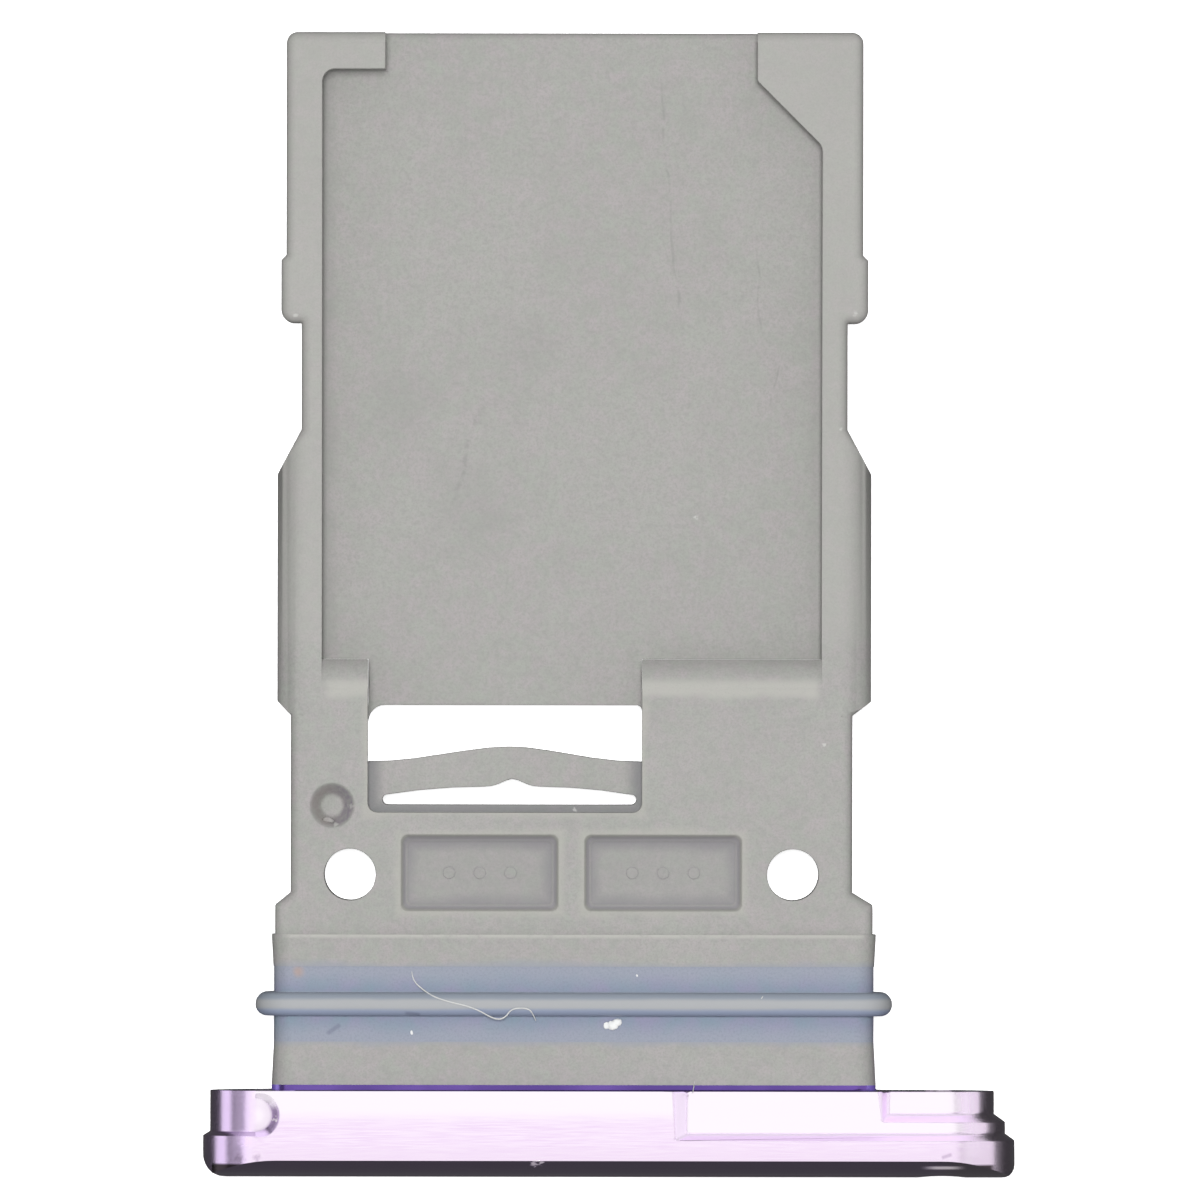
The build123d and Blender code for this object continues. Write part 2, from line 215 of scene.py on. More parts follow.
class Finish:
    """A material built from nodes, on Object coordinates in millimetres."""

    def __init__(self, name):
        self.material = bpy.data.materials.new(name)
        self.material.use_nodes = True
        self.nodes = self.material.node_tree.nodes
        self.links = self.material.node_tree.links
        self.shader = self.nodes["Principled BSDF"]
        coordinates = self.nodes.new("ShaderNodeTexCoord")
        scale = self.nodes.new("ShaderNodeMapping")
        scale.inputs["Scale"].default_value = (1 / MM, 1 / MM, 1 / MM)
        self.links.new(coordinates.outputs["Object"], scale.inputs["Vector"])
        self.place = scale.outputs["Vector"]
        split = self.nodes.new("ShaderNodeSeparateXYZ")
        self.links.new(self.place, split.inputs["Vector"])
        self.x, self.y, self.z = split.outputs
        facing = self.nodes.new("ShaderNodeSeparateXYZ")
        self.links.new(coordinates.outputs["Normal"], facing.inputs["Vector"])
        self.facing_up = facing.outputs["Z"]

    def set(self, socket, value):
        """Links a node's output to a socket, or sets a plain number or colour on it."""
        if hasattr(value, "is_output"):
            self.links.new(value, socket)
        else:
            socket.default_value = value

    def give(self, socket_name, value):
        """Sets one of the shader's own sockets."""
        self.set(self.shader.inputs[socket_name], value)

    def stretched(self, along_x, along_y, along_z):
        """The place with its three directions scaled, for a grain that runs one way."""
        mapping = self.nodes.new("ShaderNodeMapping")
        mapping.inputs["Scale"].default_value = (along_x, along_y, along_z)
        self.links.new(self.place, mapping.inputs["Vector"])
        return mapping.outputs["Vector"]

    def noise(self, per_mm, detail=2.0, roughness=0.5, place=None):
        """Noise with so many waves to the millimetre."""
        node = self.nodes.new("ShaderNodeTexNoise")
        node.inputs["Scale"].default_value = per_mm
        node.inputs["Detail"].default_value = detail
        node.inputs["Roughness"].default_value = roughness
        self.links.new(place or self.place, node.inputs["Vector"])
        return node.outputs["Fac"]

    def ease(self, value, start, end, low=0.0, high=1.0):
        """Eases from low to high while a value goes from start to end."""
        node = self.nodes.new("ShaderNodeMapRange")
        node.interpolation_type = "SMOOTHSTEP"
        self.set(node.inputs["Value"], value)
        self.set(node.inputs["From Min"], start)
        self.set(node.inputs["From Max"], end)
        self.set(node.inputs["To Min"], low)
        self.set(node.inputs["To Max"], high)
        return node.outputs["Result"]

    def calculate(self, operation, first, second=0.0, third=0.0):
        """One Math node."""
        node = self.nodes.new("ShaderNodeMath")
        node.operation = operation
        for socket, value in zip(node.inputs, (first, second, third)):
            self.set(socket, value)
        return node.outputs["Value"]

    def plus(self, first, second):
        """The sum of two values."""
        return self.calculate("ADD", first, second)

    def minus(self, first, second):
        """The difference of two values."""
        return self.calculate("SUBTRACT", first, second)

    def times(self, first, second):
        """The product of two values."""
        return self.calculate("MULTIPLY", first, second)

    def larger(self, first, second):
        """The larger of two values."""
        return self.calculate("MAXIMUM", first, second)

    def smaller(self, first, second):
        """The smaller of two values."""
        return self.calculate("MINIMUM", first, second)

    def all_of(self, masks):
        """Where every one of several masks holds."""
        shared = masks[0]
        for mask in masks[1:]:
            shared = self.times(shared, mask)
        return shared

    def most(self, masks):
        """The strongest of several masks."""
        strongest = masks[0]
        for mask in masks[1:]:
            strongest = self.larger(strongest, mask)
        return strongest

    def mix(self, share, under, over):
        """Mixes two colours by a share."""
        node = self.nodes.new("ShaderNodeMix")
        node.data_type = "RGBA"
        node.clamp_factor = True
        under_socket, over_socket = [s for s in node.inputs if s.type == "RGBA"]
        self.set(node.inputs[0], share)
        self.set(under_socket, under)
        self.set(over_socket, over)
        return [s for s in node.outputs if s.type == "RGBA"][0]

    def lay(self, under, over, mask, strength=1.0):
        """Lays a colour over another where a mask holds."""
        share = mask if strength == 1.0 else self.times(mask, strength)
        return self.mix(share, under, over)

    def off_from(self, value, middle):
        """How far a coordinate is from a middle line."""
        return self.calculate("ABSOLUTE", self.minus(value, middle))

    def outside(self, middle, half):
        """How far a place in the plan lies outside a rectangle, below zero inside it."""
        across = self.minus(self.off_from(self.x, middle[0]), half[0])
        along = self.minus(self.off_from(self.y, middle[1]), half[1])
        return self.larger(across, along)

    def distance(self, centre):
        """How far a place in the plan lies from a centre."""
        across = self.minus(self.x, centre[0])
        along = self.minus(self.y, centre[1])
        squares = self.calculate("MULTIPLY_ADD", across, across, self.times(along, along))
        return self.calculate("SQRT", squares)

    def spot(self, centre, radius, soft, waver):
        """A roundish mark in the plan, with a soft rim that noise makes uneven."""
        reach = self.plus(self.distance(centre), waver)
        return self.ease(reach, radius * (1.0 + soft), radius * (1.0 - soft))

    def spots(self, marks, soft, waver):
        """Several roundish marks, each given by its pixel in the photograph and its radius."""
        return self.most([self.spot(at_pixel(*pixel), radius, soft, waver) for pixel, radius in marks])

    def hairline(self, start, end, width, waver):
        """A fine line in the plan from start to end, bent a little by noise."""
        run = (end[0] - start[0], end[1] - start[1])
        length = math.hypot(*run)
        middle = ((start[0] + end[0]) / 2, (start[1] + end[1]) / 2)
        ahead = (run[0] / length, run[1] / length)
        across = self.minus(self.x, middle[0])
        along = self.minus(self.y, middle[1])
        run_part = self.calculate("MULTIPLY_ADD", across, ahead[0], self.times(along, ahead[1]))
        side_part = self.calculate("MULTIPLY_ADD", across, -ahead[1], self.times(along, ahead[0]))
        bent = self.plus(side_part, waver)
        thin = self.ease(self.calculate("ABSOLUTE", bent), width, width * 0.2)
        within = self.ease(self.calculate("ABSOLUTE", run_part), length * 0.5, length * 0.3)
        return self.times(thin, within)

    def hairlines(self, marks, waver):
        """Several fine lines, each given by the pixels of its ends and its width."""
        return self.most([
            self.hairline(at_pixel(*start), at_pixel(*end), width, waver) for start, end, width in marks
        ])

    def bump(self, height, strength, depth_mm, under=None):
        """A bump of so many millimetres, laid on another one if it is given."""
        node = self.nodes.new("ShaderNodeBump")
        node.inputs["Strength"].default_value = strength
        node.inputs["Distance"].default_value = depth_mm * MM
        self.links.new(height, node.inputs["Height"])
        if under:
            self.links.new(under, node.inputs["Normal"])
        return node.outputs["Normal"]


# Finish of the moulded carrier: grey satin plastic with flow marks, hairlines, nicks and smudges, and
# painted shade and painted highlights

# Marks on the carrier: pixels of the photograph, with radii or widths in millimetres
CARRIER_SMUDGES = [((470, 510), 0.75), ((400, 400), 0.60), ((520, 350), 0.60)]
CARRIER_SCRATCHES = [
    ((661, 70), (668, 210), 0.034),
    ((666, 185), (682, 330), 0.034),
    ((482, 400), (452, 510), 0.070),
    ((757, 222), (762, 340), 0.030),
    ((783, 352), (772, 410), 0.030),
]
CARRIER_NICKS = [
    ((855, 314), 0.040),
    ((841, 429), 0.030),
    ((296, 316), 0.030),
    ((824, 745), 0.018),
    ((695, 517), 0.034),
    ((575, 810), 0.026),
    ((351, 806), 0.034),
    ((336, 825), 0.030),
]


class CarrierPlastic(Finish):
    """The carrier's plastic, with a method for each layer of its colour."""

    def __init__(self):
        super().__init__("carrier_plastic_satin")
        self.cloud = self.noise(0.45, detail=3.0)
        self.mottle = self.noise(5.0, detail=4.0, roughness=0.65)
        self.tint = self.noise(3.2, detail=3.0, roughness=0.6)
        self.blotch = self.noise(11.0, detail=2.0, roughness=0.6)
        self.grain = self.noise(26.0, detail=3.0, roughness=0.7)
        self.waver = self.ease(self.noise(0.9, detail=2.0), 0.2, 0.8, -0.07, 0.07)
        self.uneven = self.ease(self.noise(14.0, detail=2.0), 0.2, 0.8, -0.03, 0.03)
        self.pocket_gap = self.smaller(*[self.outside(middle, POCKET_HALF) for middle in POCKET_MIDDLES])
        self.window_gap = self.outside(WINDOW_MIDDLE, WINDOW_HALF)

    def flow_marks(self):
        """The plain moulded grey, from cool to warm, clouded and grained."""
        cool, warm = colour(0.254, 0.268, 0.242), colour(0.284, 0.262, 0.266)
        grey = self.mix(self.ease(self.tint, 0.35, 0.65), cool, warm)
        grey = self.lay(grey, colour(0.240, 0.238, 0.227), self.ease(self.mottle, 0.30, 0.72, 0.0, 0.65))
        grey = self.lay(grey, colour(0.290, 0.287, 0.274), self.ease(self.cloud, 0.35, 0.70, 0.0, 0.30))
        grey = self.lay(grey, colour(0.222, 0.222, 0.217), self.ease(self.blotch, 0.45, 0.70, 0.0, 0.45))
        return self.lay(grey, colour(0.212, 0.210, 0.200), self.ease(self.grain, 0.42, 0.70, 0.0, 0.60))

    def upper_face(self, grey):
        """Painted highlights at the rims of the pockets and the window, a painted highlight on the lips'
        crests that is also wear, and paler on the rails.
        """
        on_top = self.ease(self.z, CARRIER_TOP - 0.14, CARRIER_TOP - 0.03)
        rim_gap = self.plus(self.smaller(self.pocket_gap, self.window_gap), self.waver)
        # The rims of the pockets and the window get a painted highlight
        rim = self.times(on_top, self.ease(rim_gap, 0.16, 0.0))
        grey = self.lay(grey, colour(0.302, 0.300, 0.272), rim, 0.55)
        # The lips' crests get a painted highlight, broken up like wear
        crest = self.all_of([
            on_top,
            self.ease(self.x, RECESS_SIDES[0] - 0.05, RECESS_SIDES[0] + 0.20),
            self.ease(self.x, RECESS_SIDES[1] + 0.02, RECESS_SIDES[1] - 0.15),
            self.ease(self.y, LIP_CREST + 0.25, LIP_CREST + 0.06),
            self.ease(self.plus(self.y, self.waver), LIP_CREST - 0.22, LIP_CREST - 0.05),
            self.ease(self.grain, 0.25, 0.60, 0.55, 1.0),
        ])
        grey = self.lay(grey, colour(0.318, 0.316, 0.292), crest, 0.85)
        on_rails = self.all_of([
            self.ease(self.z, RECESS_FLOOR + 0.40, RECESS_FLOOR + 0.60),
            self.ease(self.y, LIP_NOSE, LIP_NOSE + 0.60),
        ])
        return self.lay(grey, colour(0.286, 0.285, 0.268), on_rails, 0.45)

    def pockets(self, grey):
        """Painted shade in the two pockets, darkest in their corners and under their rear walls, and
        painted light on their sloping walls.
        """
        sunk = self.ease(self.z, CARRIER_TOP - 0.05, CARRIER_TOP - 0.20)
        in_pocket = self.times(sunk, self.ease(self.pocket_gap, 0.03, 0.0))
        # Painted shade over the pockets' floors, their corners and the strips under their rear walls
        grey = self.lay(grey, colour(0.184, 0.182, 0.180), in_pocket, 0.35)
        corner = self.all_of([
            in_pocket,
            self.ease(self.facing_up, 0.80, 0.95),
            self.ease(self.plus(self.pocket_gap, self.waver), -0.38, -0.06),
        ])
        grey = self.lay(grey, colour(0.160, 0.155, 0.166), corner, 0.70)
        rear = POCKET_MIDDLES[0][1] + POCKET_HALF[1]
        under_rear = self.times(in_pocket, self.ease(self.y, rear - 0.34, rear - 0.08))
        grey = self.lay(grey, colour(0.140, 0.134, 0.144), under_rear, 0.40)
        # The sloping walls get painted light, lighter and more violet
        wall = self.times(in_pocket, self.ease(self.facing_up, 0.90, 0.50))
        return self.lay(grey, colour(0.292, 0.282, 0.298), wall, 0.85)

    def spring_window(self, grey):
        """Painted shade where the spring bar's level meets the window's walls."""
        at_spring = self.all_of([
            self.ease(self.z, SPRING_TOP + 0.20, SPRING_TOP + 0.05),
            self.ease(self.z, SPRING_TOP - 0.20, SPRING_TOP - 0.05),
            self.ease(self.window_gap, 0.02, 0.0),
            self.ease(self.window_gap, -0.34, -0.04),
        ])
        # Painted shade on the ledge in the narrow groove
        return self.lay(grey, colour(0.120, 0.122, 0.130), at_spring, 0.65)

    def dimple_ring(self, grey):
        """A mottled ring of painted shade in the dimple, brownish on its left side and violet on its right.
        """
        in_dimple = self.times(
            self.ease(self.z, CARRIER_TOP - 0.02, CARRIER_TOP - 0.08),
            self.spot(DIMPLE_MIDDLE, 0.50, 0.1, 0.0),
        )
        clean_floor = self.spot(DIMPLE_MIDDLE, 0.22, 0.25, self.uneven)
        ring = self.times(in_dimple, self.minus(1.0, clean_floor))
        towards_right = self.ease(self.x, DIMPLE_MIDDLE[0] - 0.2, DIMPLE_MIDDLE[0] + 0.3)
        # The ring's painted shade, brownish to the left and violet to the right
        ring_shade = self.mix(towards_right, colour(0.225, 0.203, 0.194), colour(0.176, 0.148, 0.190))
        return self.lay(grey, ring_shade, self.times(ring, self.ease(self.blotch, 0.3, 0.7, 0.25, 0.75)))

    def edges(self, grey):
        """Painted shadow along the foot of the recess's side walls, stronger at the left wall, and a
        painted highlight on the plug's rear edge.
        """
        uneven_x = self.plus(self.x, self.waver)
        beside_walls = self.larger(
            self.ease(uneven_x, RECESS_SIDES[0] + 0.34, RECESS_SIDES[0] + 0.04, 0.0, 0.45),
            self.ease(uneven_x, RECESS_SIDES[1] - 0.30, RECESS_SIDES[1] - 0.04, 0.0, 0.25),
        )
        at_foot = self.all_of([
            beside_walls,
            self.ease(self.z, RECESS_FLOOR + 0.30, RECESS_FLOOR + 0.10),
            self.ease(self.y, LIP_NOSE - 0.10, LIP_NOSE + 0.10),
        ])
        # Painted shadow at the foot of the side walls
        grey = self.lay(grey, colour(0.196, 0.194, 0.186), at_foot)
        # A painted highlight along the plug's rear edge, broken up by the mottle
        plug_edge = self.all_of([
            self.ease(self.off_from(self.y, PLUG_REAR), 0.09, 0.02),
            self.ease(self.z, CARRIER_TOP + 0.03, PLUG_TOP - 0.02),
            self.ease(self.mottle, 0.30, 0.55, 0.4, 1.0),
        ])
        return self.lay(grey, colour(0.335, 0.333, 0.310), plug_edge, 0.8)

    def seal_film(self, grey):
        """A film of the seal's silicone on the plug's lands."""
        reach = self.plus(self.off_from(self.y, SEAL_MIDDLE), self.times(self.waver, 0.8))
        film = self.ease(reach, SEAL_HALF + 0.14, SEAL_HALF - 0.04)
        return self.lay(grey, colour(0.212, 0.226, 0.264), film, 0.75)

    def wear(self, grey):
        """Smudges, broken scratches and bright nicks."""
        smudges = self.spots(CARRIER_SMUDGES, 0.8, self.times(self.waver, 4.0))
        grey = self.lay(grey, colour(0.200, 0.199, 0.192), smudges, 0.22)
        broken = self.ease(self.mottle, 0.42, 0.58, 0.08, 0.38)
        scratched = self.times(self.hairlines(CARRIER_SCRATCHES, self.waver), broken)
        grey = self.lay(grey, colour(0.172, 0.168, 0.166), scratched)
        nicks = self.spots(CARRIER_NICKS, 0.7, self.uneven)
        return self.lay(grey, colour(0.44, 0.44, 0.42), nicks, 0.60)


def carrier_plastic():
    finish = CarrierPlastic()
    grey = finish.flow_marks()
    grey = finish.upper_face(grey)
    grey = finish.pockets(grey)
    grey = finish.spring_window(grey)
    grey = finish.dimple_ring(grey)
    grey = finish.edges(grey)
    grey = finish.seal_film(grey)
    grey = finish.wear(grey)
    finish.give("Base Color", grey)
    finish.give("Roughness", finish.ease(finish.mottle, 0.2, 0.8, 0.46, 0.60))
    finish.give("Specular IOR Level", 0.30)
    fine = finish.bump(finish.grain, 0.35, 0.006)
    finish.give("Normal", finish.bump(finish.mottle, 0.25, 0.012, fine))
    return finish.material


# Finish of the seal: blue-grey silicone that thins out over the plug at both rims

SEAL_STAINS = [((298.4, 971), 0.09)]
SEAL_SMEARS = [((326, 1034), (342, 1023), 0.06), ((404, 1012), (422, 1014), 0.05)]


def seal_rubber():
    finish = Finish("seal_silicone")
    drift = finish.noise(0.9, detail=3.0)
    mottle = finish.noise(4.0, detail=3.0, roughness=0.6)
    tint = finish.noise(2.2, detail=2.0)
    grain = finish.noise(24.0, detail=3.0, roughness=0.7)
    waver = finish.ease(drift, 0.2, 0.8, -0.07, 0.07)
    off_crest = finish.off_from(finish.y, SEAL_MIDDLE)

    # Band: bluer and violet by turns, and thin at its rims
    blue = finish.mix(finish.ease(tint, 0.3, 0.7), colour(0.156, 0.204, 0.252), colour(0.194, 0.192, 0.276))
    blue = finish.lay(blue, colour(0.192, 0.214, 0.270), finish.ease(mottle, 0.35, 0.75, 0.0, 0.40))
    thin = finish.ease(finish.plus(off_crest, waver), 0.24, SEAL_HALF - 0.06, 0.0, 0.85)
    blue = finish.lay(blue, colour(0.222, 0.238, 0.280), thin)
    blue = finish.lay(blue, colour(0.146, 0.164, 0.208), finish.ease(grain, 0.42, 0.70, 0.0, 0.45))

    # Bead: its flanks painted in light and shade, the one at the head bluer, and a painted highlight on its
    # crest
    facing_head = finish.ease(finish.y, SEAL_MIDDLE + 0.05, SEAL_MIDDLE - 0.10)
    flank = finish.mix(facing_head, colour(0.196, 0.222, 0.262), colour(0.206, 0.240, 0.326))
    blue = finish.lay(blue, flank, finish.ease(off_crest, 0.24, 0.20))
    crest = finish.ease(finish.plus(off_crest, finish.times(waver, 0.2)), 0.130, 0.045)
    blue = finish.lay(blue, colour(0.276, 0.284, 0.294), crest)

    blue = finish.lay(blue, colour(0.33, 0.21, 0.145), finish.spots(SEAL_STAINS, 0.7, waver), 0.5)
    blue = finish.lay(blue, colour(0.10, 0.11, 0.16), finish.hairlines(SEAL_SMEARS, 0.0), 0.5)

    finish.give("Base Color", blue)
    finish.give("Roughness", finish.ease(mottle, 0.2, 0.8, 0.42, 0.58))
    finish.give("Specular IOR Level", 0.30)
    finish.give("Normal", finish.bump(mottle, 0.3, 0.010))
    return finish.material


# Finish of the head: brushed and anodised aluminium, violet, paler where it was milled after brushing, with
# painted reflections and painted shade

HEAD_NICKS = [((534, 1162), 0.045), ((541, 1160.5), 0.040), ((275, 1118), 0.035)]
HEAD_SMUDGES = [((258, 1157), 0.06), ((240, 1158), 0.08)]
HEAD_SMEARS = [((940, 1157), (952, 1153), 0.050)]
# Pixel of the painted highlight on the pin hole's rim
PIN_RIM_PIXEL = (943, 1167)


class HeadMetal(Finish):
    """The head's metal, with a method for each layer of its colour."""

    def __init__(self):
        super().__init__("head_violet_anodised")
        self.brushed = self.noise(1.0, detail=4.0, roughness=0.6, place=self.stretched(1.5, 38.0, 38.0))
        self.fine = self.noise(1.0, detail=2.0, place=self.stretched(2.5, 95.0, 95.0))
        self.cloud = self.noise(0.8, detail=3.0)
        self.uneven = self.ease(self.noise(12.0, detail=2.0), 0.2, 0.8, -0.04, 0.04)
        self.sloping = self.ease(self.facing_up, 0.96, 0.86)
        # Walls and boss ends with painted light, made matt so the painted light shows
        self.painted_light_walls = []
        self.bright_marks = []

    def brushed_top(self):
        """The brushed violet top, with a painted highlight in the strip at its back, painted shade towards
        its front, and paler on the milled steps.
        """
        violet = self.mix(
            self.ease(self.brushed, 0.3, 0.7), colour(0.416, 0.336, 0.438), colour(0.456, 0.396, 0.464)
        )
        violet = self.lay(violet, colour(0.452, 0.392, 0.460), self.ease(self.cloud, 0.4, 0.75, 0.0, 0.35))
        # Painted shade towards the front of the flat top
        towards_front = self.ease(self.y, HEAD_BACK - 0.85, HEAD_FLAT_FRONT)
        violet = self.lay(violet, colour(0.412, 0.346, 0.424), towards_front, 0.6)
        # A painted highlight in the strip at the back
        back_strip = self.ease(self.y, HEAD_BACK - 0.62, HEAD_BACK - 0.30)
        milled = self.ease(self.z, HEAD_TOP - 0.05, HEAD_TOP - 0.12)
        flat = self.ease(self.facing_up, 0.90, 0.985)
        pale = self.times(self.larger(back_strip, milled), flat)
        return self.lay(violet, colour(0.468, 0.432, 0.472), pale)

    def relief_walls(self, violet):
        """Painted lilac reflection on the sloping faces, and painted light on the walls of the two reliefs
        at the right end, made matt.
        """
        steep = self.all_of([
            self.sloping,
            self.ease(self.x, HEAD_RIGHT - 0.9, HEAD_RIGHT - 1.5),
            self.ease(self.z, HEAD_TOP - 1.2, HEAD_TOP - 0.8),
        ])
        # Painted lilac reflection on the sloping faces
        violet = self.lay(violet, colour(0.480, 0.370, 0.580), steep, 0.75)
        wall = self.all_of([
            self.sloping,
            self.ease(self.x, LEFT_RELIEF_END, LEFT_RELIEF_END + 0.4),
            self.ease(self.x, HEAD_RIGHT - 0.5, HEAD_RIGHT - 1.2),
            self.ease(self.z, HEAD_TOP - 0.60, HEAD_TOP - 0.45),
            self.ease(self.y, HEAD_FLAT_FRONT, HEAD_FLAT_FRONT + 0.10),
            self.ease(self.y, HEAD_BACK - 0.01, HEAD_BACK - 0.03),
        ])
        self.painted_light_walls.append(wall)
        # Painted light on the walls, brighter lilac where they stand upright
        upright, slanted = colour(0.780, 0.580, 0.860), colour(0.600, 0.510, 0.630)
        return self.lay(violet, self.mix(self.ease(self.facing_up, 0.60, 0.78), upright, slanted), wall)

    def left_relief(self, violet):
        """The round end of the left relief: painted shade on its floor, darkest at its tip, and painted
        light on two walls, made matt.
        """
        middle_x, middle_y = LEFT_RELIEF_MIDDLE
        off_middle = self.distance(LEFT_RELIEF_MIDDLE)
        round_end = self.all_of([
            self.ease(off_middle, 0.46, 0.36),
            self.ease(self.x, middle_x - 0.10, middle_x + 0.05),
            self.ease(self.y, middle_y + 0.36, middle_y + 0.08),
            self.ease(self.y, middle_y - 0.50, middle_y - 0.20),
        ])
        floor_shade = self.times(round_end, self.ease(off_middle, 0.04, 0.28, 0.0, 0.35))
        violet = self.lay(violet, colour(0.300, 0.230, 0.320), floor_shade)
        tip_shade = self.times(round_end, self.ease(off_middle, 0.24, 0.34, 0.0, 0.80))
        violet = self.lay(violet, colour(0.140, 0.095, 0.180), tip_shade)
        rear_wall = self.all_of([
            self.ease(off_middle, 0.24, 0.32),
            self.ease(off_middle, 0.60, 0.48),
            self.sloping,
            self.ease(self.x, middle_x - 0.10, middle_x + 0.05),
            self.ease(self.y, middle_y + 0.06, middle_y + 0.30),
        ])
        # Painted light on the rear wall
        violet = self.lay(violet, colour(0.74, 0.68, 0.75), rear_wall)
        # Painted lilac light on the lower wall
        lower_wall = self.all_of([
            self.sloping,
            self.ease(self.x, middle_x - 0.45, middle_x - 0.05),
            self.ease(self.x, middle_x + 0.30, middle_x + 0.15),
            self.ease(self.y, middle_y - 0.22, middle_y - 0.34),
            self.ease(self.y, middle_y - 0.60, middle_y - 0.50),
        ])
        self.painted_light_walls += [rear_wall, lower_wall]
        return self.lay(violet, colour(0.62, 0.47, 0.72), lower_wall)

    def front_band(self, violet):
        """A painted dark reflection along the crowned front."""
        dark = self.all_of([
            self.ease(self.y, HEAD_FRONT + 0.27, HEAD_FRONT + 0.22),
            self.ease(self.facing_up, 0.455, 0.50),
            self.ease(self.x, HEAD_RIGHT - 0.30, HEAD_RIGHT - 0.46),
        ])
        return self.lay(violet, colour(0.030, 0.023, 0.028), dark)

    def boss(self, violet):
        """The boss behind the bar, in deep violet painted shade, with bluer painted light at its two ends.
        """
        deep = self.mix(
            self.ease(self.cloud, 0.35, 0.65), colour(0.058, 0.034, 0.144), colour(0.078, 0.046, 0.184)
        )
        deep = self.lay(deep, colour(0.090, 0.050, 0.210), self.ease(self.x, 2.6, 4.8, 0.0, 0.8))
        # Painted shade in deep violet on the boss and the head's back
        violet = self.lay(violet, deep, self.ease(self.y, HEAD_BACK - 0.01, HEAD_BACK + 0.01))
        # Painted light at the boss's two ends, made matt
        boss_end = self.all_of([
            self.ease(self.y, HEAD_BACK + 0.005, HEAD_BACK + 0.02),
            self.ease(self.off_from(self.x, BOSS_MIDDLE), 5.20, 5.30),
        ])
        self.painted_light_walls.append(boss_end)
        return self.lay(violet, colour(0.17, 0.11, 0.46), boss_end)

    def wear(self, violet):
        """Nicks in the front edge, smudges, and a painted highlight on the rim of the pin hole."""
        nicks = self.spots(HEAD_NICKS, 0.6, self.uneven)
        violet = self.lay(violet, colour(0.62, 0.56, 0.60), nicks, 0.7)
        smudges = self.larger(
            self.hairlines(HEAD_SMEARS, 0.0), self.spots(HEAD_SMUDGES, 0.7, self.uneven)
        )
        violet = self.lay(violet, colour(0.20, 0.15, 0.22), smudges, 0.45)
        # A painted highlight on the pin hole's rim
        pin_x, pin_y = at_pixel(*PIN_RIM_PIXEL)
        pin_rim = self.all_of([
            self.ease(self.off_from(self.x, pin_x), 0.44, 0.10),
            self.ease(self.off_from(self.y, pin_y), 0.045, 0.010),
        ])
        self.bright_marks += [pin_rim, nicks]
        return self.lay(violet, colour(0.85, 0.78, 0.80), pin_rim, 0.7)


def head_metal():
    finish = HeadMetal()
    violet = finish.brushed_top()
    violet = finish.relief_walls(violet)
    violet = finish.left_relief(violet)
    violet = finish.front_band(violet)
    violet = finish.boss(violet)
    violet = finish.wear(violet)
    finish.give("Base Color", violet)
    # The surfaces with painted light are made mostly non-metal
    matt = finish.times(finish.most(finish.painted_light_walls), 0.85)
    finish.give("Metallic", finish.minus(1.0, finish.most(finish.bright_marks + [matt])))
    finish.give("Roughness", finish.ease(finish.brushed, 0.25, 0.75, 0.16, 0.26))
    streaks = finish.bump(finish.fine, 0.25, 0.002)
    finish.give("Normal", finish.bump(finish.brushed, 0.30, 0.004, streaks))
    return finish.material


# Finish of the lint and dust: pale and rough


def pale_lint(name, dark, light):
    finish = Finish(name)
    streak = finish.noise(9.0, detail=3.0)
    finish.give("Base Color", finish.mix(streak, dark, light))
    finish.give("Roughness", finish.ease(streak, 0.2, 0.8, 0.6, 0.9))
    finish.give("Specular IOR Level", 0.2)
    finish.give("Normal", finish.bump(streak, 0.4, 0.010))
    return finish.material


# Finish of the floor: plain white board, lit from within like a light table


def floor_board():
    finish = Finish("floor_white_board")
    soft = finish.noise(0.02, detail=2.0)
    white = finish.mix(soft, colour(0.90, 0.90, 0.90), colour(0.93, 0.93, 0.93))
    finish.give("Base Color", white)
    finish.give("Roughness", 0.9)
    finish.give("Specular IOR Level", 0.0)
    finish.give("Emission Color", white)
    finish.give("Emission Strength", 0.80)
    return finish.material


# The three main pieces


def carrier_edge(start, end):
    """The carrier's level edges, apart from the rims of the seal's groove and the tips of the lips."""
    level = abs(start.z - end.z) < LEVEL_TOLERANCE
    at_groove = min(abs(start.y - SEAL_FRONT), abs(start.y - SEAL_REAR)) < 0.02
    at_nose = abs(start.y - LIP_NOSE) < 0.01 and abs(end.y - LIP_NOSE) < 0.01
    return level and not at_groove and not at_nose


def pocket_foot(start, end):
    """The edges round the floors of the two pockets."""
    level = max(abs(start.z - POCKET_FLOOR), abs(end.z - POCKET_FLOOR)) < 0.005
    middle_y = POCKET_MIDDLES[0][1]
    return level and abs(start.y - middle_y) < POCKET_HALF[1] and abs(end.y - middle_y) < POCKET_HALF[1]


def dimple_foot(start, end):
    """The edge round the floor of the dimple."""
    middle = Vector(DIMPLE_MIDDLE)
    return (start.xy - middle).length < 0.3 and (end.xy - middle).length < 0.3


def head_edge(start, end):
    """The head's edges to the right of the left relief, apart from the boss, the tongue and the front."""
    behind_front = max(start.y, end.y) > HEAD_FLAT_FRONT
    before_boss = max(start.y, end.y) < HEAD_BACK + LEVEL_TOLERANCE
    return behind_front and before_boss and min(start.x, end.x) > LEFT_RELIEF_END


def relief_start(start, end):
    """The edges across the head where the two reliefs at its right end begin."""
    lengthwise = abs(start.x - end.x) < LEVEL_TOLERANCE and abs(start.y - end.y) > 0.3
    starts = [HEAD_RIGHT - length for length in RELIEF_LENGTHS]
    return lengthwise and any(-0.02 < start.x - at < 0.15 for at in starts) and start.z > HEAD_TOP / 2


